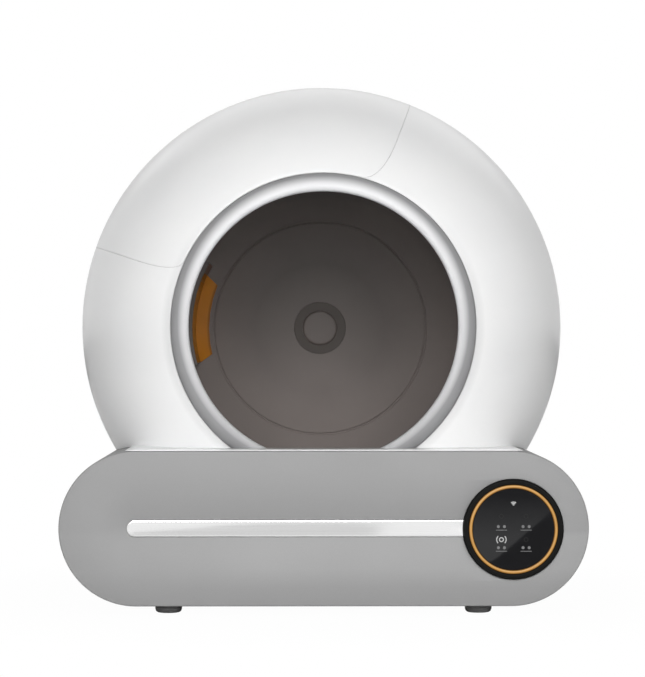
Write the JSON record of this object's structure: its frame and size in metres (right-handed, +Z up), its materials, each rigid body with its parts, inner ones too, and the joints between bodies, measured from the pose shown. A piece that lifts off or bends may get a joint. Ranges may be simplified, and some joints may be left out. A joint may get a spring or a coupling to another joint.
{
  "type": "self cleaning litter box",
  "caption": "Round white housing with a satin entrance ring over a turning sieve drum, on a grey rounded base with a pull-out waste drawer, round display and rubber feet.",
  "frame": {"origin": "on the floor, under the middle of the base", "axes": "+Z up; the entrance and the display face -Y; +X is to the right as seen from the front"},
  "size_m": [0.56, 0.53, 0.5785],
  "materials": {
    "white_shell": "smooth satin white",
    "grey_base": "satin grey",
    "satin_trim": "satin silver",
    "drum_plastic": "fine matte warm grey",
    "orange_plastic": "satin",
    "black_gloss": "polished",
    "ring_light": "diffusing",
    "rubber": "matte",
    "steel": "plain",
    "nylon": "natural",
    "circuit_board": "solder resist"
  },
  "bodies": {
    "housing": {"front_shell": "white_shell", "rear_shell": "white_shell", "rear_cover": "white_shell", "rear_screw_1": "steel", "rear_screw_2": "steel", "rear_screw_3": "steel", "entrance_ring": "satin_trim", "drum_seal": "rubber", "home_sensor": "circuit_board", "drive_plate": "drum_plastic", "spindle_bearing": "nylon", "drive_motor": "steel", "roller_bracket_left": "grey_base", "roller_bracket_right": "grey_base", "roller_pin_left": "steel", "roller_pin_right": "steel", "base_casing": "grey_base", "base_pan": "drum_plastic", "foot_front_left": "rubber", "foot_front_right": "rubber", "foot_rear_left": "rubber", "foot_rear_right": "rubber", "load_cell_front_left": "steel", "load_cell_front_right": "steel", "load_cell_rear_left": "steel", "load_cell_rear_right": "steel", "control_board": "circuit_board", "power_inlet": "rubber", "drawer_rail_left": "steel", "drawer_rail_right": "steel", "pod_housing": "black_gloss", "light_ring": "ring_light", "display_glass": "black_gloss", "touch_board": "circuit_board"},
    "drum": {"drum_front": "drum_plastic", "drum_barrel": "drum_plastic", "drum_back": "drum_plastic", "drum_pocket": "drum_plastic", "drum_sieve": "orange_plastic", "hub_ring": "rubber", "hub_cap": "drum_plastic", "drum_spindle": "steel", "drum_gear": "nylon", "spindle_clip": "steel", "home_magnet": "steel"},
    "pinion": {"motor_pinion": "steel", "motor_shaft": "steel"},
    "left_roller": {"roller_left": "rubber"},
    "right_roller": {"roller_right": "rubber"},
    "drawer": {"waste_tray": "drum_plastic", "bag_frame": "grey_base", "drawer_front": "grey_base", "front_strip": "satin_trim"},
    "hatch": {"top_hatch": "white_shell"}
  },
  "joints": [
    {"name": "drum_spin", "type": "hinge", "parent": "housing", "child": "drum", "pos_m": [0, 0, 0.306], "axis": [0, -1, 0], "continuous": true},
    {"name": "pinion_spin", "type": "hinge", "parent": "housing", "child": "pinion", "pos_m": [0.07929, 0.18, 0.25048], "axis": [0, -1, 0], "continuous": true},
    {"name": "left_roller_spin", "type": "hinge", "parent": "housing", "child": "left_roller", "pos_m": [-0.11415, -0.115, 0.10829], "axis": [0, -1, 0], "continuous": true},
    {"name": "right_roller_spin", "type": "hinge", "parent": "housing", "child": "right_roller", "pos_m": [0.11415, -0.115, 0.10829], "axis": [0, -1, 0], "continuous": true},
    {"name": "drawer_slide", "type": "slide", "parent": "housing", "child": "drawer", "axis": [0, -1, 0], "range_m": [0, 0.36]},
    {"name": "hatch_lift", "type": "slide", "parent": "housing", "child": "hatch", "axis": [-0.4139, 0, 0.9103], "range_m": [0, 0.15]}
  ],
  "couplings": [
    {"joint": "pinion_spin", "follows": "drum_spin", "ratio": -3},
    {"joint": "left_roller_spin", "follows": "drum_spin", "ratio": -18},
    {"joint": "right_roller_spin", "follows": "drum_spin", "ratio": -18}
  ]
}
